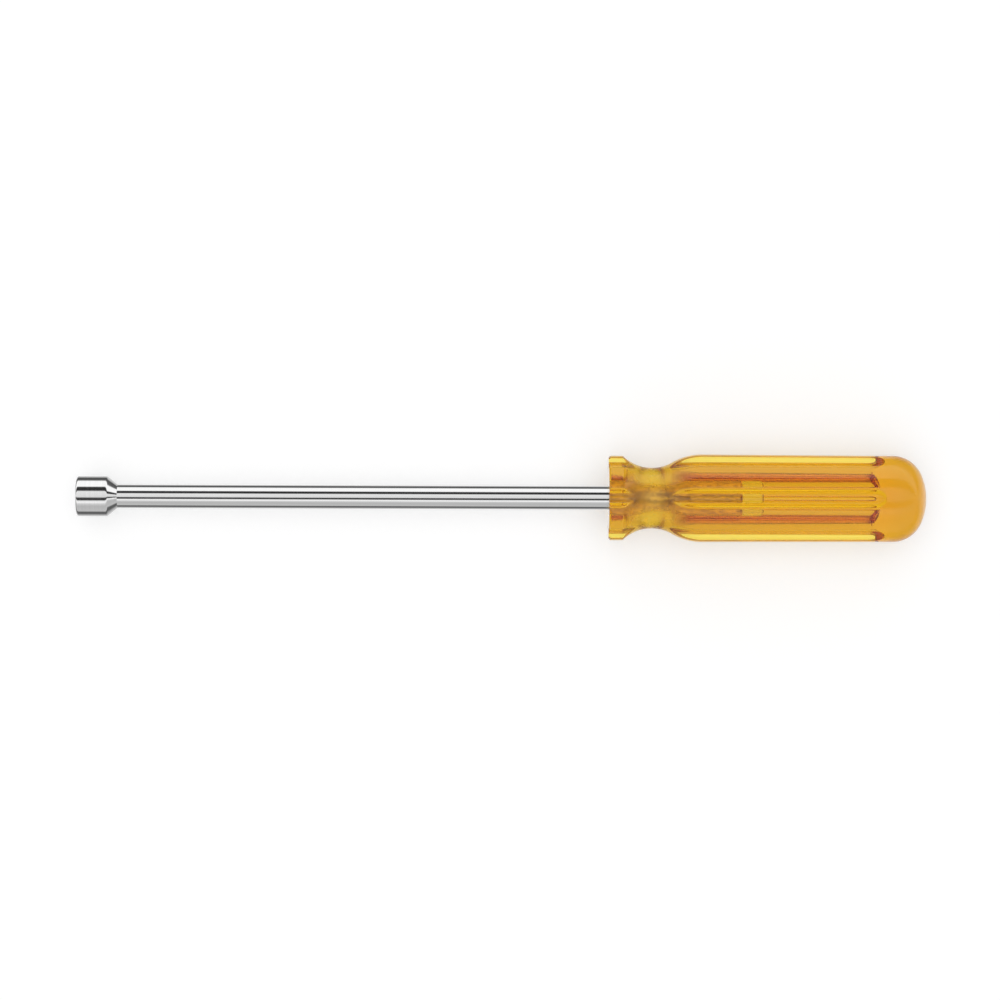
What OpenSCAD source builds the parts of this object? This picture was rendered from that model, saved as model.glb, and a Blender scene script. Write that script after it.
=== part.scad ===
// Nut driver: a chrome-plated hollow shaft with a hex socket, in a clear fluted handle.
// The tool lies along X. The origin is the centre of the socket's mouth, the handle is at +X,
// and one flute of the handle faces +Z. All sizes are in millimetres.

/* [Socket] */
// Size across flats of the nut that the socket turns (5/16 inch)
nut_af = 7.94; // [5:0.01:14]
// Play between the nut and the hex recess, across flats
nut_play = 0.08; // [0.04:0.01:0.3]
// Depth of the hex recess
hex_depth = 8.2; // [5:0.1:16]
// Steel outside the corners of the hex
corner_wall = 1.12; // [0.8:0.01:3]
// Width of the lead-in that bevels the mouth of the hex, outside its corners
lead_in = 0.1; // [0.05:0.01:0.3]
// Length of the straight body behind the hex
hex_back = 0.6; // [0.1:0.1:2]
// Steel between the hex and the seat of the shaft
floor_t = 0.7; // [0.4:0.1:1.4]
// Length of the cone that runs from the body down to the shaft
cone_len = 2.9; // [1.6:0.1:6]
// Radius of the rounded outer edge of the mouth
mouth_round = 0.7; // [0.2:0.1:0.8]
// Radius of the rounded edge between the body and the cone
cone_round = 1.2; // [0.4:0.1:2]

/* [Shaft] */
// Diameter of the shaft
shaft_d = 6.7; // [5.6:0.1:9]
// Wall of the hollow shaft
shaft_wall = 1.15; // [0.8:0.05:1.5]
// Length from the mouth of the socket to the front of the handle (6 inches)
reach = 152.4; // [60:0.1:400]
// Depth of the shoulder where the shaft is turned down to its spigot
spigot_step = 0.45; // [0.3:0.05:0.6]

/* [Tang] */
// Length of round shaft between the front of the handle and the wings
lead_len = 5.2; // [4:0.1:14]
// Length of the pinched stretch that forms the wings
pinch_len = 18.6; // [10:0.1:20]
// Thickness left at the middle of the pinch
pinch_t = 4.4; // [2.8:0.1:5.2]
// How far each wing stands out of the shaft
wing_out = 1.35; // [0.5:0.05:2]
// Length of round shaft behind the wings
tail_len = 14.4; // [6:0.1:20]
// Chamfer at the tail end of the shaft
tail_chamfer = 0.6; // [0.3:0.1:0.9]

/* [Handle] */
// Length of the handle
handle_len = 91.1; // [80:0.1:130]
// Diameter of the collar
collar_d = 24.3; // [21:0.05:28]
// Length of the collar's straight edge
collar_len = 4.1; // [3:0.1:7]
// Chamfer at the front edge of the collar
collar_chamfer = 0.5; // [0.2:0.1:1]
// Diameter of the neck at its thinnest
neck_d = 17.4; // [15:0.1:19.5]
// Radius of the hollow along the neck
neck_r = 11.7; // [8:0.1:16]
// Radius of the swell from the neck to the grip
shoulder_r = 17; // [10:0.1:22]
// Diameter of the grip at its front, where it is thickest
grip_d = 25.2; // [24:0.1:30]
// Diameter of the grip where the dome starts
butt_d = 24.75; // [23:0.05:29]
// Length of the dome
dome_len = 9.7; // [9.6:0.1:12]
// Radius of the dome's shoulder
dome_round = 9; // [5:0.1:9.2]
// Length of the empty end of the blind hole, behind the shaft
pocket_len = 6.1; // [2:0.1:12]
// Radius of the corner at the end of the blind hole
pocket_round = 1; // [0.5:0.1:2]

/* [Flutes] */
// Number of flutes around the handle
flute_count = 6; // [4:1:8]
// Depth of a flute below the thickest part of the grip
flute_depth = 2.8; // [1.6:0.05:3.4]
// Radius of the round cut of a flute
flute_r = 3.2; // [2.8:0.1:5]
// Distance from the end of a flute's floor to the start of the dome
flute_stop = 6.2; // [4:0.1:12]

/* [Fits] */
// Gap around the tang in the handle
tang_gap = 0.03; // [0.01:0.01:0.1]
// Gap around the spigot in the socket
spigot_gap = 0.02; // [0.01:0.01:0.05]
// Gap between the end of the spigot and the bottom of its seat
spigot_end_gap = 0.05; // [0.02:0.01:0.1]

/* [Hidden] */
$fn = 96;

// A cut runs past the face that it opens by this much
past = 1;
// The hole through the socket's floor is wider than the hollow shaft behind it by this much all round
floor_play = 0.15;
// The straight grip trims the crest of the shoulder by this much, so that they meet at a clear edge
crest = 0.02;

// Socket
hex_af = nut_af + nut_play;
hex_corner_r = hex_af / 2 / cos(30);
socket_r = hex_corner_r + corner_wall;
body_len = hex_depth + hex_back;
socket_len = body_len + cone_len;
seat_x = hex_depth + floor_t;
lead_in_r = hex_corner_r + lead_in;
// The lead-in is a cone at 30 degrees to the face, as deep as the flats need
lead_in_depth = (lead_in_r - hex_af / 2) * tan(30);

// Shaft
shaft_r = shaft_d / 2;
stud_r = shaft_r - shaft_wall;
spigot_r = shaft_r - spigot_step;
spigot_x = seat_x + spigot_end_gap;
floor_hole_r = stud_r + floor_play;
pinch_x = reach + lead_len;
pinch_mid = pinch_x + pinch_len / 2;
pinch_end = pinch_x + pinch_len;
tail_x = pinch_end + tail_len;
// The dies that pinch the shaft are round, and so is the outline of a wing
pinch_in = shaft_r - pinch_t / 2;
die_r = (pow(pinch_len / 2, 2) + pow(pinch_in, 2)) / (2 * pinch_in);
wing_r = (pow(pinch_len / 2, 2) + pow(wing_out, 2)) / (2 * wing_out);
wing_drop = wing_r - wing_out - shaft_r;

// Handle, measured from its front face
collar_r = collar_d / 2;
grip_r = grip_d / 2;
butt_r = butt_d / 2;
neck_axis = neck_d / 2 + neck_r;
neck_at = collar_len + sqrt(pow(neck_r, 2) - pow(neck_axis - collar_r, 2));
shoulder_axis = grip_r - shoulder_r;
shoulder_at = neck_at + sqrt(pow(neck_r + shoulder_r, 2) - pow(neck_axis - shoulder_axis, 2));
// The neck's hollow runs into the shoulder's swell at this point
blend = neck_r / (neck_r + shoulder_r);
blend_r = neck_axis + (shoulder_axis - neck_axis) * blend;
blend_at = neck_at + (shoulder_at - neck_at) * blend;
dome_at = handle_len - dome_len;
// The crown of the dome is the sphere that runs smoothly into the dome's shoulder
dome_axis = butt_r - dome_round;
crown_r = (pow(dome_len, 2) + pow(dome_axis, 2) - pow(dome_round, 2)) / (2 * (dome_len - dome_round));
crown_at = handle_len - crown_r;
crown_blend = crown_r / (crown_r - dome_round);
crown_blend_r = dome_axis * crown_blend;
crown_blend_at = crown_at + (dome_at - crown_at) * crown_blend;
hole_r = shaft_r + tang_gap;
hole_end = tail_x + pocket_len;

// Flutes
flute_axis = grip_r - flute_depth + flute_r;
flute_end = dome_at - flute_stop;

// Turns a profile about the X axis: the profile's x is the radius and its y lies along X
module turned() {
    rotate([0, 90, 0])
        rotate_extrude()
            children();
}

// A cylinder on the X axis between two places
module bar(from, to, r) {
    translate([from, 0, 0])
        rotate([0, 90, 0])
            cylinder(h = to - from, r = r);
}

// The part of a profile inside the radius r, between two places along X
module band(from, to, r) {
    translate([0, from])
        square([r, to - from]);
}

// The wings: a flat blade with round edges, in the XZ plane
module wings(grow) {
    edge_r = pinch_t / 2 + grow;
    path_r = wing_r - pinch_t / 2;
    sweep = asin(pinch_len / 2 / path_r);
    translate([pinch_mid, 0, 0])
        rotate([90, 0, 0]) {
            translate([0, 0, -edge_r])
                linear_extrude(2 * edge_r)
                    intersection_for(side = [-1, 1])
                        translate([0, side * wing_drop])
                            circle(path_r);
            for (turn = [0, 180])
                rotate([0, 0, turn])
                    translate([0, -wing_drop, 0])
                        rotate([0, 0, 90 - sweep])
                            rotate_extrude(angle = 2 * sweep)
                                translate([path_r, 0])
                                    circle(edge_r);
        }
}

// The round shaft from one place to its tail end, pinched into wings
module tang(from, grow) {
    difference() {
        union() {
            bar(from, tail_x - tail_chamfer, shaft_r + grow);
            translate([tail_x - tail_chamfer, 0, 0])
                rotate([0, 90, 0])
                    cylinder(h = tail_chamfer, r1 = shaft_r + grow, r2 = shaft_r + grow - tail_chamfer);
        }
        for (side = [-1, 1])
            translate([pinch_mid, side * (pinch_t / 2 + die_r), 0])
                cylinder(h = 2 * shaft_d, r = die_r - grow, center = true);
    }
    wings(grow);
}

// Outline of the handle, from its axis outwards
module handle_profile() {
    difference() {
        polygon([
            [0, 0],
            [collar_r - collar_chamfer, 0],
            [collar_r, collar_chamfer],
            [collar_r, blend_at],
            [0, blend_at]
        ]);
        translate([neck_axis, neck_at])
            circle(neck_r);
    }
    difference() {
        polygon([[0, blend_at], [grip_r - crest, blend_at], [butt_r, dome_at], [0, dome_at]]);
        difference() {
            band(blend_at - past, shoulder_at, grip_r + past);
            translate([shoulder_axis, shoulder_at])
                circle(shoulder_r);
        }
    }
    band(dome_at, crown_blend_at, dome_axis);
    intersection() {
        translate([dome_axis, dome_at])
            circle(dome_round);
        translate([dome_axis, dome_at])
            square([dome_round, crown_blend_at - dome_at]);
    }
    intersection() {
        translate([0, crown_at])
            circle(crown_r);
        band(crown_blend_at, handle_len, crown_blend_r);
    }
}

// One flute, cut by a round tool that leaves a ball-shaped end
module flute() {
    translate([0, 0, flute_axis]) {
        bar(-past, flute_end, flute_r);
        translate([flute_end, 0, 0])
            sphere(flute_r);
    }
}

// Empty end of the blind hole, with a rounded bottom
module pocket() {
    turned() {
        band(pinch_end, hole_end - pocket_round, hole_r);
        band(hole_end - pocket_round, hole_end, hole_r - pocket_round);
        intersection() {
            translate([hole_r - pocket_round, hole_end - pocket_round])
                circle(pocket_round);
            translate([hole_r - pocket_round, hole_end - pocket_round])
                square(pocket_round);
        }
    }
}

module handle() {
    color("orange", 0.7)
        difference() {
            translate([reach, 0, 0])
                difference() {
                    turned()
                        handle_profile();
                    for (i = [0 : flute_count - 1])
                        rotate([360 / flute_count * i, 0, 0])
                            flute();
                }
            tang(reach - past, tang_gap);
            pocket();
        }
}

module shaft() {
    color("silver")
        difference() {
            union() {
                bar(spigot_x, socket_len, spigot_r);
                tang(socket_len, 0);
            }
            bar(spigot_x - past, pinch_x, stud_r);
            bar(pinch_end, tail_x + past, stud_r);
        }
}

// Outline of the socket: round mouth edge, straight body, rounded step and cone
module socket_profile() {
    slope = atan((socket_r - shaft_r) / cone_len);
    step_at = body_len - cone_round * tan(slope / 2);
    step_axis = socket_r - cone_round;
    translate([socket_r - mouth_round, mouth_round])
        circle(mouth_round);
    translate([step_axis, step_at])
        circle(cone_round);
    polygon([
        [0, 0],
        [socket_r - mouth_round, 0],
        [socket_r - mouth_round, mouth_round],
        [socket_r, mouth_round],
        [socket_r, step_at],
        [step_axis, step_at],
        [step_axis + cone_round * cos(slope), step_at + cone_round * sin(slope)],
        [shaft_r, socket_len],
        [0, socket_len]
    ]);
}

module socket() {
    color("gainsboro")
        difference() {
            turned()
                socket_profile();
            translate([-past, 0, 0])
                rotate([0, 90, 0])
                    cylinder(h = hex_depth + past, r = hex_corner_r, $fn = 6);
            rotate([0, 90, 0])
                cylinder(h = lead_in_depth, r1 = lead_in_r, r2 = hex_af / 2);
            bar(hex_depth - past, seat_x + past, floor_hole_r);
            bar(seat_x, socket_len + past, spigot_r + spigot_gap);
        }
}

handle();
shaft();
socket();
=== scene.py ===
"""Looks of a nut driver: a clear amber fluted handle on a chrome-plated shaft with a hex socket.

Every piece is a skin of rings about the X axis. Sizes are in millimetres, as in the CAD model,
and become metres in skin(). An angle of 0 about the axis points to +Z, towards the camera.
"""

import math

import bpy
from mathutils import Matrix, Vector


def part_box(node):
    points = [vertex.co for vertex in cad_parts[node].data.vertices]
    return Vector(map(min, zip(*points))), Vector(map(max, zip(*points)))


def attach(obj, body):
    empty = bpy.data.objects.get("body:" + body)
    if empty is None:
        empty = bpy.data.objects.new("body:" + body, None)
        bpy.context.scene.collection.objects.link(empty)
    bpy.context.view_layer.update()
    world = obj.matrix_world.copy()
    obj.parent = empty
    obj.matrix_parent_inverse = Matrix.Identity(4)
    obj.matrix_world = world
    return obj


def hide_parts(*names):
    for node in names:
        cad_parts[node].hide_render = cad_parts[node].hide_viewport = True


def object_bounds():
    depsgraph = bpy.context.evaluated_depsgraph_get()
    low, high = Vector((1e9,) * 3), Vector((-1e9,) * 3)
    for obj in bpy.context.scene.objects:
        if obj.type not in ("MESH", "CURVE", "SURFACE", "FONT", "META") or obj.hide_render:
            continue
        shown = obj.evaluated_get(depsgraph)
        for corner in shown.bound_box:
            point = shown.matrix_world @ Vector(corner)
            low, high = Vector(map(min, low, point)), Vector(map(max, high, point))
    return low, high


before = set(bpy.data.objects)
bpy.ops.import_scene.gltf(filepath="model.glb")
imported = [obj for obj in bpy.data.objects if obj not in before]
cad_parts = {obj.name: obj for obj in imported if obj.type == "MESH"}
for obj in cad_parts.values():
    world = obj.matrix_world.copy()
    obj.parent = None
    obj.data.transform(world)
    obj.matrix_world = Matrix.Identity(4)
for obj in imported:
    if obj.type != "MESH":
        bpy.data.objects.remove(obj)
cad_low, cad_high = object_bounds()

MM = 0.001
TINY = 1e-9
WHITE = (1, 1, 1, 1)

# Socket
HEX_FLATS = 8.02
HEX_DEPTH = 8.2
HEX_PITCH = math.pi / 3
CORNER_WALL = 1.12
LEAD_IN = 0.1
LEAD_ANGLE = math.pi / 6
BODY_LENGTH = 8.8
FLOOR_THICKNESS = 0.7
FLOOR_PLAY = 0.15
CONE_LENGTH = 2.9
MOUTH_ROUND = 0.7
CONE_ROUND = 1.2
SPIGOT_GAP = 0.02

# Shaft
SHAFT_RADIUS = 3.35
BORE_RADIUS = 2.2
SPIGOT_RADIUS = 2.9
SPIGOT_FRONT = 8.95
TAIL_CHAMFER = 0.6

# Tang: the pinched stretch of the shaft inside the handle, and its two wings
LEAD_LENGTH = 5.2
PINCH_LENGTH = 18.6
PINCH_THICKNESS = 4.4
WING_OUT = 1.35
TAIL_LENGTH = 14.4

# Handle, measured along X from its front face
COLLAR_RADIUS = 12.15
COLLAR_LENGTH = 4.1
COLLAR_CHAMFER = 0.5
NECK_RADIUS = 8.7
NECK_CURVE = 11.7
SHOULDER_CURVE = 17.0
GRIP_RADIUS = 12.6
BUTT_RADIUS = 12.375
DOME_LENGTH = 9.7
DOME_ROUND = 9.0
POCKET_LENGTH = 6.1
POCKET_ROUND = 1.0
TANG_GAP = 0.03

# Flutes
FLUTES = 6
FLUTE_DEPTH = 2.8
FLUTE_CURVE = 2.5
FLUTE_LIP = 0.7
FLUTE_STOP = 6.2
FLUTE_RUN = 3.4

# Points round each piece's rings
HANDLE_AROUND = 420
SHAFT_AROUND = 600
SOCKET_AROUND = 240

# Rings along each stretch, and steps round each small curve
TANG_RINGS = 40
NECK_RINGS = 44
SHOULDER_RINGS = 24
GRIP_RINGS = 12
FLUTE_END_RINGS = 30
DOME_RINGS = 24
SHAFT_RINGS = 24
BODY_RINGS = 6
LEAD_IN_RINGS = 8
CURVE_STEPS = 10

# An edge that turns by more than this many degrees stays sharp
SHARP_EDGE = 30

# Amber plastic: how clear it is, its tint along the path of light, and its scuffs
CLEARNESS = 0.98
TINT = (0.966, 0.881, 0.05, 1)
TINT_DENSITY = 300
SCUFF_SCALE = 260
SCUFF_DETAIL = 5
SCUFF_WEAR = (0.75, 1.25)
SCUFF_STRENGTH = 0.25
SCUFF_HEIGHT = 0.01

# Roughness of the handle along X: the neck and dome are duller than the collar and grip
FINISH = [
    (0.0, 0.06), (4.0, 0.06), (5.5, 0.27), (18.5, 0.27),
    (24.0, 0.03), (78.0, 0.03), (83.0, 0.2), (91.0, 0.2),
]

# The drilled hole is matt. Its wall is the handle's surface within this radius, from just behind
# the front face to a little past the end of the hole.
HOLE_WITHIN = 6.0
HOLE_BEHIND = 0.05
HOLE_PAST = 1.0
HOLE_ROUGH = 0.5

# How much the handle's surface bends light: outside, in the empty end of the hole, and where the
# tang is pressed in with next to no air round it
PLASTIC_IOR = 1.48
POCKET_IOR = 1.2
PRESSED_IOR = 1.01

# Chrome plate: brightness and roughness over its tool marks, and how fine these are along X, Y, Z
PLATE_LEVEL = (0.84, 0.97)
PLATE_ROUGH = (0.04, 0.13)
SHAFT_MARKS = (60, 2500, 2500)
SOCKET_MARKS = (2500, 60, 60)
MARK_DETAIL = 3
MARK_STRENGTH = 0.2
MARK_HEIGHT = 0.005

# Steel under the handle, darkened and tinted orange as painted shade and painted amber light over its
# own mottle: its mottle, the place and tone of both ends, and its roughness
MOTTLE_SCALE = 900
MOTTLE_DETAIL = 4
TINTED_STEEL_DARK = (0.32, (0.48, 0.29, 0.12, 1))
TINTED_STEEL_LIGHT = (0.68, (1.0, 0.68, 0.33, 1))
STEEL_ROUGH = 0.4

# Floor: its glow for the light below the handle, and for the camera, so that the shadow shows
FLOOR_TONE = (0.8, 0.8, 0.8, 1)
FLOOR_GLOW = 0.57
FLOOR_SEEN = 0.38
FLOOR_HALF = 3.0

# Light from overhead, how narrow it is, light from both sides, and light from all round
TOP_LIGHT = 2.0
TOP_FOCUS = 6.0
SIDE_LIGHT = 0.85
FILL_LIGHT = 0.1

# Level of the studio round the X axis: degrees from straight up, towards +Y, and brightness.
# The narrow dark places are flags between the soft boxes.
STUDIO = [
    (-180, 0.9), (-150, 0.6), (-130, 0.3), (-122, 0.12), (-104, 0.12), (-96, 0.55),
    (-60, 0.5), (-46, 0.65), (-36, 1.0), (-27, 0.8), (-23, 0.04), (-10, 0.04), (-5, 0.75),
    (27, 0.85), (33, 0.03), (53, 0.03), (59, 1.05),
    (96, 1.05), (105, 0.12), (132, 0.08), (140, 0.5), (180, 0.9),
]

# Camera, above the tool and looking straight down
CAMERA_HEIGHT = 1100.0
CAMERA_X = 121.33
CAMERA_Y = -0.7
CAMERA_ROLL = 0.2
FRAME_WIDTH = 286.8
SENSOR = 36.0

# Turns that a ray of light may take in all and through plastic, and between mirrors
LIGHT_BOUNCES = 32
MIRROR_BOUNCES = 16

# Sockets of a colour mix, which share their names with those of a number mix
COLOUR_A = 6
COLOUR_B = 7
COLOUR_RESULT = 2


def around(count):
    """Evenly spaced angles for one ring."""
    return [2 * math.pi * i / count for i in range(count)]


def ring(x, radius_at, count):
    """A closed ring of points at x, with its radius given for each angle."""
    points = []
    for angle in around(count):
        radius = radius_at(angle)
        points.append((x, radius * math.sin(angle), radius * math.cos(angle)))
    return points


def round_ring(x, radius, count):
    return ring(x, lambda angle: radius, count)


def spread(start, end, steps):
    """Evenly spaced places from start up to end, without end itself."""
    return [start + (end - start) * i / steps for i in range(steps)]


def skin(name, rings, first_tip=None, last_tip=None):
    """A mesh over the rings in turn. Tips close its ends, and with no tips the rings form a loop."""
    count = len(rings[0])
    points = [p for one in rings for p in one]
    faces = []
    steps = len(rings) - 1 if first_tip else len(rings)
    for i in range(steps):
        here = i * count
        there = (i + 1) % len(rings) * count
        for k in range(count):
            after = (k + 1) % count
            faces.append((here + k, there + k, there + after, here + after))
    if first_tip:
        points.append(first_tip)
        tip = len(points) - 1
        faces += [(tip, k, (k + 1) % count) for k in range(count)]
    if last_tip:
        points.append(last_tip)
        tip = len(points) - 1
        last = (len(rings) - 1) * count
        faces += [(tip, last + (k + 1) % count, last + k) for k in range(count)]
    mesh = bpy.data.meshes.new(name)
    mesh.from_pydata([tuple(c * MM for c in p) for p in points], [], faces)
    mesh.polygons.foreach_set("use_smooth", [True] * len(faces))
    mesh.set_sharp_from_angle(angle=math.radians(SHARP_EDGE))
    mesh.update()
    piece = bpy.data.objects.new(name, mesh)
    bpy.context.scene.collection.objects.link(piece)
    return piece


# Places along X that the pieces share
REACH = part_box("handle")[0].x / MM
SOCKET_LENGTH = BODY_LENGTH + CONE_LENGTH
PINCH_START = REACH + LEAD_LENGTH
PINCH_MIDDLE = PINCH_START + PINCH_LENGTH / 2
PINCH_END = PINCH_START + PINCH_LENGTH
TAIL_END = PINCH_END + TAIL_LENGTH
HOLE_END = TAIL_END + POCKET_LENGTH


def arc_through(half_chord, rise):
    """Radius of the arc with this half chord and this rise."""
    return (half_chord ** 2 + rise ** 2) / (2 * rise)


DIE_RADIUS = arc_through(PINCH_LENGTH / 2, SHAFT_RADIUS - PINCH_THICKNESS / 2)
WING_RADIUS = arc_through(PINCH_LENGTH / 2, WING_OUT)


def tang_radius(x, angle, grow):
    """Radius of the tang's section at x: a round bar between two dies, with a wing above and below."""
    across = abs(math.sin(angle))
    upright = abs(math.cos(angle))
    radius = SHAFT_RADIUS + grow
    from_middle = abs(x - PINCH_MIDDLE)
    if from_middle >= PINCH_LENGTH / 2:
        return radius
    half = PINCH_THICKNESS / 2 + DIE_RADIUS - math.sqrt(DIE_RADIUS ** 2 - from_middle ** 2) + grow
    if across * radius > half:
        radius = half / across
    edge = PINCH_THICKNESS / 2
    path = WING_RADIUS - edge
    height = math.sqrt(path ** 2 - from_middle ** 2) - (WING_RADIUS - WING_OUT - SHAFT_RADIUS)
    edge += grow
    wing = edge / max(across, TINY)
    if wing * upright > height:
        wing = height * upright + math.sqrt(max(0.0, edge ** 2 - (height * across) ** 2))
    return max(radius, wing)


def tang_rings(start, end, grow, count):
    """Rings along the tang from its lead to its tail."""
    places = [start, PINCH_START] + spread(PINCH_START, PINCH_END, TANG_RINGS)[1:] + [PINCH_END, end]
    return [ring(x, lambda angle: tang_radius(x, angle, grow), count) for x in places]


# Outline of the handle
NECK_AXIS = NECK_RADIUS + NECK_CURVE
NECK_AT = COLLAR_LENGTH + math.sqrt(NECK_CURVE ** 2 - (NECK_AXIS - COLLAR_RADIUS) ** 2)
SHOULDER_AXIS = GRIP_RADIUS - SHOULDER_CURVE
SHOULDER_AT = NECK_AT + math.sqrt((NECK_CURVE + SHOULDER_CURVE) ** 2 - (NECK_AXIS - SHOULDER_AXIS) ** 2)
BLEND_AT = NECK_AT + (SHOULDER_AT - NECK_AT) * NECK_CURVE / (NECK_CURVE + SHOULDER_CURVE)
HANDLE_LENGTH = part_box("handle")[1].x / MM - REACH
DOME_AT = HANDLE_LENGTH - DOME_LENGTH
DOME_AXIS = BUTT_RADIUS - DOME_ROUND
CROWN = (DOME_LENGTH ** 2 + DOME_AXIS ** 2 - DOME_ROUND ** 2) / (2 * (DOME_LENGTH - DOME_ROUND))
CROWN_AT = HANDLE_LENGTH - CROWN
CROWN_BLEND_AT = CROWN_AT + (DOME_AT - CROWN_AT) * CROWN / (CROWN - DOME_ROUND)
FLUTE_FLOOR = GRIP_RADIUS - FLUTE_DEPTH
FLUTE_AXIS = FLUTE_FLOOR + FLUTE_CURVE
FLUTE_END = DOME_AT - FLUTE_STOP
FLUTE_PITCH = 2 * math.pi / FLUTES


def handle_radius(x):
    """Radius of the handle's outline at x, outside its flutes."""
    if x < COLLAR_LENGTH:
        return COLLAR_RADIUS - max(0.0, COLLAR_CHAMFER - x)
    if x < BLEND_AT:
        return NECK_AXIS - math.sqrt(NECK_CURVE ** 2 - (x - NECK_AT) ** 2)
    if x < SHOULDER_AT:
        return SHOULDER_AXIS + math.sqrt(SHOULDER_CURVE ** 2 - (x - SHOULDER_AT) ** 2)
    if x < DOME_AT:
        return GRIP_RADIUS + (BUTT_RADIUS - GRIP_RADIUS) * (x - SHOULDER_AT) / (DOME_AT - SHOULDER_AT)
    if x < CROWN_BLEND_AT:
        return DOME_AXIS + math.sqrt(DOME_ROUND ** 2 - (x - DOME_AT) ** 2)
    return math.sqrt(max(0.0, CROWN ** 2 - (x - CROWN_AT) ** 2))


def fluted_radius(angle, outer, curve, lip):
    """Radius of a fluted section at an angle from the nearest flute's middle."""
    if curve <= 0 or FLUTE_AXIS - curve >= outer:
        return outer
    reach = outer - lip
    lip_height = (reach ** 2 - (curve + lip) ** 2 + FLUTE_AXIS ** 2) / (2 * FLUTE_AXIS)
    lip_side = math.sqrt(max(0.0, reach ** 2 - lip_height ** 2))
    if lip_side == 0 or angle >= math.atan2(lip_side, lip_height):
        return outer
    share = curve / (curve + lip)
    turn = math.atan2(lip_side * share, FLUTE_AXIS + (lip_height - FLUTE_AXIS) * share)
    if angle <= turn:
        inside = curve ** 2 - (FLUTE_AXIS * math.sin(angle)) ** 2
        return FLUTE_AXIS * math.cos(angle) - math.sqrt(max(0.0, inside))
    along = lip_side * math.sin(angle) + lip_height * math.cos(angle)
    inside = along ** 2 - lip_side ** 2 - lip_height ** 2 + lip ** 2
    return min(outer, along + math.sqrt(max(0.0, inside)))


def handle_ring(x):
    """Outer ring of the handle at x from its front. The flutes end in a round."""
    outer = handle_radius(x)
    past_end = max(0.0, x - FLUTE_END)
    share = math.sqrt(max(0.0, 1 - (past_end / FLUTE_RUN) ** 2))

    def radius_at(angle):
        from_flute = abs((angle + FLUTE_PITCH / 2) % FLUTE_PITCH - FLUTE_PITCH / 2)
        return fluted_radius(from_flute, outer, FLUTE_CURVE * share, FLUTE_LIP * share)

    return ring(REACH + x, radius_at, HANDLE_AROUND)


def build_handle():
    """The handle: a skin from the end of its hole to its front face, and back to the dome."""
    places = [0.0, COLLAR_CHAMFER, COLLAR_LENGTH / 2]
    places += spread(COLLAR_LENGTH, BLEND_AT, NECK_RINGS)
    places += spread(BLEND_AT, SHOULDER_AT, SHOULDER_RINGS)
    places += spread(SHOULDER_AT, FLUTE_END, GRIP_RINGS)
    places += spread(FLUTE_END, FLUTE_END + FLUTE_RUN, FLUTE_END_RINGS)
    places += [FLUTE_END + FLUTE_RUN]
    dome_end = math.asin(min(1.0, (CROWN_BLEND_AT - DOME_AT) / DOME_ROUND))
    places += [DOME_AT + DOME_ROUND * math.sin(a) for a in spread(0.0, dome_end, DOME_RINGS)]
    crown_start = math.acos((CROWN_BLEND_AT - CROWN_AT) / CROWN)
    places += [CROWN_AT + CROWN * math.cos(a) for a in spread(crown_start, 0.0, DOME_RINGS)]
    outside = [handle_ring(x) for x in places]
    hole = SHAFT_RADIUS + TANG_GAP
    corner = HOLE_END - POCKET_ROUND
    inside = []
    for a in spread(math.pi / 2, 0.0, CURVE_STEPS):
        x = corner + POCKET_ROUND * math.sin(a)
        inside.append(round_ring(x, hole - POCKET_ROUND * (1 - math.cos(a)), HANDLE_AROUND))
    inside += reversed(tang_rings(REACH, corner, TANG_GAP, HANDLE_AROUND))
    return skin(
        "amber_handle",
        inside + outside,
        first_tip=(HOLE_END, 0.0, 0.0),
        last_tip=(REACH + HANDLE_LENGTH, 0.0, 0.0),
    )


def build_shaft():
    """The hollow shaft, with its spigot in front and its pinched tang and open tail behind."""
    inside_front = [
        round_ring(PINCH_START, BORE_RADIUS, SHAFT_AROUND),
        round_ring(SPIGOT_FRONT, BORE_RADIUS, SHAFT_AROUND),
    ]
    outside = [
        round_ring(SPIGOT_FRONT, SPIGOT_RADIUS, SHAFT_AROUND),
        round_ring(SOCKET_LENGTH, SPIGOT_RADIUS, SHAFT_AROUND),
    ]
    bare = spread(SOCKET_LENGTH, REACH, SHAFT_RINGS)
    outside += [round_ring(x, SHAFT_RADIUS, SHAFT_AROUND) for x in bare]
    outside += tang_rings(REACH, TAIL_END - TAIL_CHAMFER, 0.0, SHAFT_AROUND)
    inside_tail = [
        round_ring(TAIL_END, SHAFT_RADIUS - TAIL_CHAMFER, SHAFT_AROUND),
        round_ring(TAIL_END, BORE_RADIUS, SHAFT_AROUND),
        round_ring(PINCH_END, BORE_RADIUS, SHAFT_AROUND),
    ]
    return skin(
        "chrome_shaft",
        inside_front + outside + inside_tail,
        first_tip=(PINCH_START, 0.0, 0.0),
        last_tip=(PINCH_END, 0.0, 0.0),
    )


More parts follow.
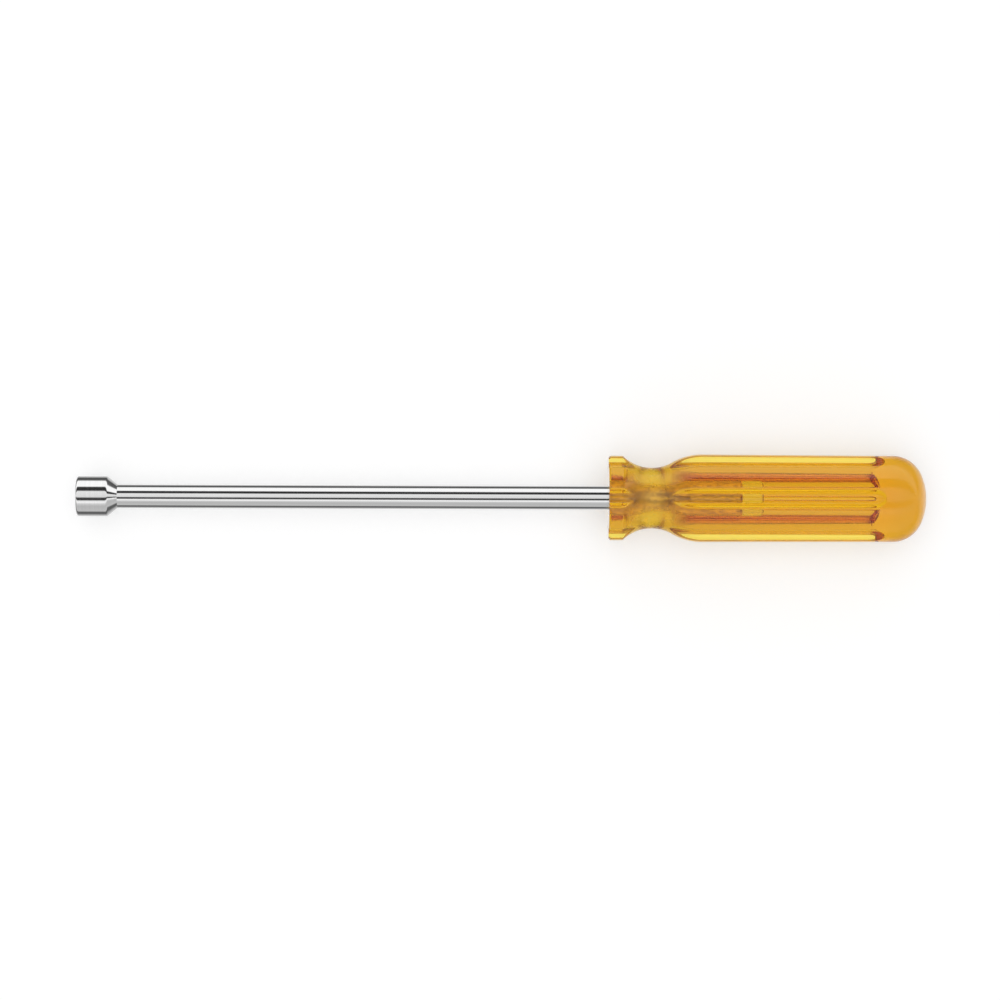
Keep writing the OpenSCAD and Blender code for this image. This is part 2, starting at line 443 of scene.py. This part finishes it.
def build_socket():
    """The socket's skin, a loop over its outside, the spigot's seat and the hex recess."""
    half_flats = HEX_FLATS / 2
    corner = half_flats / math.cos(HEX_PITCH / 2)
    outer = corner + CORNER_WALL
    lead_radius = corner + LEAD_IN
    lead_slope = math.tan(LEAD_ANGLE)

    def hex_radius(angle):
        from_flat = (angle + HEX_PITCH / 2) % HEX_PITCH - HEX_PITCH / 2
        return half_flats / math.cos(from_flat)

    def mouth(depth):
        cone = lead_radius - depth / lead_slope
        return ring(depth, lambda angle: max(hex_radius(angle), cone), SOCKET_AROUND)

    lead_depth = (lead_radius - half_flats) * lead_slope
    slope = math.atan2(outer - SHAFT_RADIUS, CONE_LENGTH)
    step_at = BODY_LENGTH - CONE_ROUND * math.tan(slope / 2)
    step_axis = outer - CONE_ROUND
    profile = [
        (MOUTH_ROUND * (1 - math.cos(a)), outer - MOUTH_ROUND * (1 - math.sin(a)))
        for a in spread(0.0, math.pi / 2, CURVE_STEPS)
    ]
    profile += [(x, outer) for x in spread(MOUTH_ROUND, step_at, BODY_RINGS)]
    profile += [
        (step_at + CONE_ROUND * math.sin(a), step_axis + CONE_ROUND * math.cos(a))
        for a in spread(0.0, slope, CURVE_STEPS) + [slope]
    ]
    seat = HEX_DEPTH + FLOOR_THICKNESS
    floor_hole = BORE_RADIUS + FLOOR_PLAY
    profile += [
        (SOCKET_LENGTH, SHAFT_RADIUS),
        (SOCKET_LENGTH, SPIGOT_RADIUS + SPIGOT_GAP),
        (seat, SPIGOT_RADIUS + SPIGOT_GAP),
        (seat, floor_hole),
        (HEX_DEPTH, floor_hole),
    ]
    rings = [round_ring(x, r, SOCKET_AROUND) for x, r in profile]
    rings.append(ring(HEX_DEPTH, hex_radius, SOCKET_AROUND))
    rings += [mouth(depth) for depth in spread(lead_depth, 0.0, LEAD_IN_RINGS) + [0.0]]
    return skin("chrome_socket", rings)


def fill(tree, node, inputs):
    """Gives a node's inputs, by name or number, plain values or links from other nodes."""
    for name, value in inputs.items():
        if isinstance(value, bpy.types.NodeSocket):
            tree.links.new(value, node.inputs[name])
        else:
            node.inputs[name].default_value = value


def add(tree, kind, inputs, operation=None):
    """A new node with its inputs filled."""
    node = tree.nodes.new(kind)
    if operation:
        node.operation = operation
    fill(tree, node, inputs)
    return node


def add_math(tree, operation, *values):
    return add(tree, "ShaderNodeMath", dict(enumerate(values)), operation).outputs["Value"]


def add_mix(tree, share, first, second):
    """A number between the first and the second."""
    return add(tree, "ShaderNodeMix", {"Factor": share, "A": first, "B": second}).outputs["Result"]


def add_range(tree, value, ends):
    """A value from 0 to 1, spread between two ends."""
    inputs = {"Value": value, "To Min": ends[0], "To Max": ends[1]}
    return add(tree, "ShaderNodeMapRange", inputs).outputs["Result"]


def add_noise(tree, place, scale, detail):
    inputs = {"Vector": place, "Scale": scale, "Detail": detail}
    return add(tree, "ShaderNodeTexNoise", inputs).outputs["Fac"]


def add_bump(tree, height, strength, distance):
    inputs = {"Height": height, "Strength": strength, "Distance": distance * MM}
    return add(tree, "ShaderNodeBump", inputs).outputs["Normal"]


def add_levels(tree, value, start, end, levels):
    """Grey levels along a value that runs from start to end, each with its place from 0 to 1."""
    inputs = {"Value": value, "From Min": start, "From Max": end}
    along = add(tree, "ShaderNodeMapRange", inputs).outputs["Result"]
    ramp = add(tree, "ShaderNodeValToRGB", {"Fac": along})
    marks = ramp.color_ramp.elements
    while len(marks) < len(levels):
        marks.new(0.5)
    for mark, (position, level) in zip(marks, levels):
        mark.position = position
        mark.color = (level, level, level, 1)
    return ramp.outputs["Color"]


def new_material(name):
    """A material, its node tree and its main shader."""
    material = bpy.data.materials.new(name)
    material.use_nodes = True
    return material, material.node_tree, material.node_tree.nodes["Principled BSDF"]


def amber_material():
    """Clear cellulose plastic: light loses its blue and some green on the way through."""
    material, tree, shader = new_material("amber_acetate")
    place = add(tree, "ShaderNodeTexCoord", {}).outputs["Object"]
    x = add(tree, "ShaderNodeSeparateXYZ", {"Vector": place}).outputs["X"]

    levels = [(at / HANDLE_LENGTH, rough) for at, rough in FINISH]
    finish = add_levels(tree, x, REACH * MM, (REACH + HANDLE_LENGTH) * MM, levels)
    scuffs = add_noise(tree, place, SCUFF_SCALE, SCUFF_DETAIL)
    worn = add_math(tree, "MULTIPLY", finish, add_range(tree, scuffs, SCUFF_WEAR))

    across = add(tree, "ShaderNodeVectorMath", {0: place, 1: (0, 1, 1)}, "MULTIPLY").outputs["Vector"]
    radius = add(tree, "ShaderNodeVectorMath", {0: across}, "LENGTH").outputs["Value"]
    within = add_math(tree, "LESS_THAN", radius, HOLE_WITHIN * MM)
    behind = add_math(tree, "GREATER_THAN", x, (REACH + HOLE_BEHIND) * MM)
    hole_wall = add_math(tree, "MULTIPLY", within, behind)
    before_end = add_math(tree, "LESS_THAN", x, (HOLE_END + HOLE_PAST) * MM)
    drilled = add_math(tree, "MULTIPLY", hole_wall, before_end)
    by_tang = add_math(tree, "LESS_THAN", x, TAIL_END * MM)
    pressed = add_math(tree, "MULTIPLY", hole_wall, by_tang)
    hollow_ior = add_mix(tree, drilled, PLASTIC_IOR, POCKET_IOR)

    fill(tree, shader, {
        "Base Color": WHITE,
        "Transmission Weight": CLEARNESS,
        "Roughness": add_mix(tree, drilled, worn, HOLE_ROUGH),
        "Normal": add_bump(tree, scuffs, SCUFF_STRENGTH, SCUFF_HEIGHT),
    })
    shader.inputs["IOR"].default_value = PLASTIC_IOR
    fill(tree, shader, {"IOR": add_mix(tree, pressed, hollow_ior, PRESSED_IOR)})
    absorb = add(tree, "ShaderNodeVolumeAbsorption", {"Color": TINT, "Density": TINT_DENSITY})
    fill(tree, tree.nodes["Material Output"], {"Volume": absorb.outputs["Volume"]})
    return material


def chrome_material(name, marks):
    """Bright plate with fine tool marks. Where the handle covers it, the steel is duller and darker and
    tinted orange: painted shade and painted amber light over the steel's own mottle.
    """
    material, tree, shader = new_material(name)
    place = add(tree, "ShaderNodeTexCoord", {}).outputs["Object"]
    x = add(tree, "ShaderNodeSeparateXYZ", {"Vector": place}).outputs["X"]
    covered = add_math(tree, "GREATER_THAN", x, REACH * MM)

    stretch = add(tree, "ShaderNodeMapping", {"Vector": place, "Scale": marks})
    lines = add_noise(tree, stretch.outputs["Vector"], 1.0, MARK_DETAIL)
    plate = add_range(tree, lines, PLATE_LEVEL)
    shine = add_range(tree, lines, PLATE_ROUGH)

    # Painted shade and painted amber light: the covered steel's colour is darkened and tinted orange,
    # as if lit through the plastic, over its own mottle
    mottle = add_noise(tree, place, MOTTLE_SCALE, MOTTLE_DETAIL)
    tinted_steel = add(tree, "ShaderNodeValToRGB", {"Fac": mottle})
    for end, (position, colour) in zip(tinted_steel.color_ramp.elements, (TINTED_STEEL_DARK, TINTED_STEEL_LIGHT)):
        end.position = position
        end.color = colour

    tone = tree.nodes.new("ShaderNodeMix")
    tone.data_type = "RGBA"
    fill(tree, tone, {"Factor": covered, COLOUR_A: plate, COLOUR_B: tinted_steel.outputs["Color"]})
    fill(tree, shader, {
        "Metallic": 1.0,
        "Base Color": tone.outputs[COLOUR_RESULT],
        "Roughness": add_mix(tree, covered, shine, STEEL_ROUGH),
        "Normal": add_bump(tree, lines, MARK_STRENGTH, MARK_HEIGHT),
    })
    return material


def mirror_ray(tree):
    """1 for a ray that a surface mirrored, 0 for one through the handle or from the camera."""
    path = add(tree, "ShaderNodeLightPath", {}).outputs
    inputs = {0: path["Is Glossy Ray"], 1: path["Is Transmission Ray"]}
    mirror = add(tree, "ShaderNodeMath", inputs, "SUBTRACT")
    mirror.use_clamp = True
    return mirror.outputs["Value"]


def build_floor():
    """A large pale floor just under the handle."""
    half = FLOOR_HALF
    level = cad_low.z
    mesh = bpy.data.meshes.new("floor")
    corners = [(-half, -half, level), (half, -half, level), (half, half, level), (-half, half, level)]
    mesh.from_pydata(corners, [], [(0, 1, 2, 3)])
    floor = bpy.data.objects.new("floor", mesh)
    bpy.context.scene.collection.objects.link(floor)
    material, tree, shader = new_material("pale_floor")
    seen = add(tree, "ShaderNodeLightPath", {}).outputs["Is Camera Ray"]
    fill(tree, shader, {
        "Base Color": FLOOR_TONE,
        "Roughness": 1.0,
        "Specular IOR Level": 0.0,
        "Emission Color": WHITE,
        "Emission Strength": add_math(tree, "MULTIPLY_ADD", seen, FLOOR_SEEN - FLOOR_GLOW, FLOOR_GLOW),
    })
    clear = add(tree, "ShaderNodeBsdfTransparent", {})
    mix = add(tree, "ShaderNodeMixShader", {
        "Fac": mirror_ray(tree),
        1: shader.outputs["BSDF"],
        2: clear.outputs["BSDF"],
    })
    fill(tree, tree.nodes["Material Output"], {"Surface": mix.outputs["Shader"]})
    mesh.materials.append(material)


def build_studio():
    """Soft boxes for mirrored rays, and plain light from above and both sides for the others."""
    world = bpy.data.worlds.new("studio")
    bpy.context.scene.world = world
    world.use_nodes = True
    tree = world.node_tree
    place = add(tree, "ShaderNodeTexCoord", {}).outputs["Generated"]
    split = add(tree, "ShaderNodeSeparateXYZ", {"Vector": place}).outputs

    angle = add_math(tree, "ARCTAN2", split["Y"], split["Z"])
    levels = [((degrees + 180) / 360, level) for degrees, level in STUDIO]
    boxes = tree.nodes["Background"]
    fill(tree, boxes, {"Color": add_levels(tree, angle, -math.pi, math.pi, levels)})

    up = add_math(tree, "MAXIMUM", split["Z"], 0.0)
    spot = add_math(tree, "POWER", up, TOP_FOCUS)
    top = add_math(tree, "MULTIPLY_ADD", spot, TOP_LIGHT, FILL_LIGHT)
    sideways = add_math(tree, "MULTIPLY", split["Y"], split["Y"])
    level = add_math(tree, "MULTIPLY_ADD", sideways, SIDE_LIGHT, top)
    plain = add(tree, "ShaderNodeBackground", {"Color": WHITE, "Strength": level})

    mix = add(tree, "ShaderNodeMixShader", {
        "Fac": mirror_ray(tree),
        1: plain.outputs["Background"],
        2: boxes.outputs["Background"],
    })
    fill(tree, tree.nodes["World Output"], {"Surface": mix.outputs["Shader"]})


def build_camera():
    lens = bpy.data.cameras.new("camera")
    lens.sensor_width = SENSOR
    lens.lens = SENSOR * CAMERA_HEIGHT / FRAME_WIDTH
    camera = bpy.data.objects.new("camera", lens)
    camera.location = (CAMERA_X * MM, CAMERA_Y * MM, CAMERA_HEIGHT * MM)
    camera.rotation_euler = (0, 0, math.radians(CAMERA_ROLL))
    bpy.context.scene.collection.objects.link(camera)
    bpy.context.scene.camera = camera


build_camera()
build_studio()
build_floor()
for piece, node, slot, material in (
    (build_handle(), "handle", "amber_acetate", amber_material()),
    (build_shaft(), "shaft", "shaft_chrome", chrome_material("shaft_chrome", SHAFT_MARKS)),
    (build_socket(), "socket", "socket_chrome", chrome_material("socket_chrome", SOCKET_MARKS)),
):
    piece.data.materials.append(material)
    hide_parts(node)
    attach(piece, "root")

scene = bpy.context.scene
scene.view_settings.view_transform = "Standard"
scene.cycles.max_bounces = LIGHT_BOUNCES
scene.cycles.glossy_bounces = MIRROR_BOUNCES
scene.cycles.transmission_bounces = LIGHT_BOUNCES
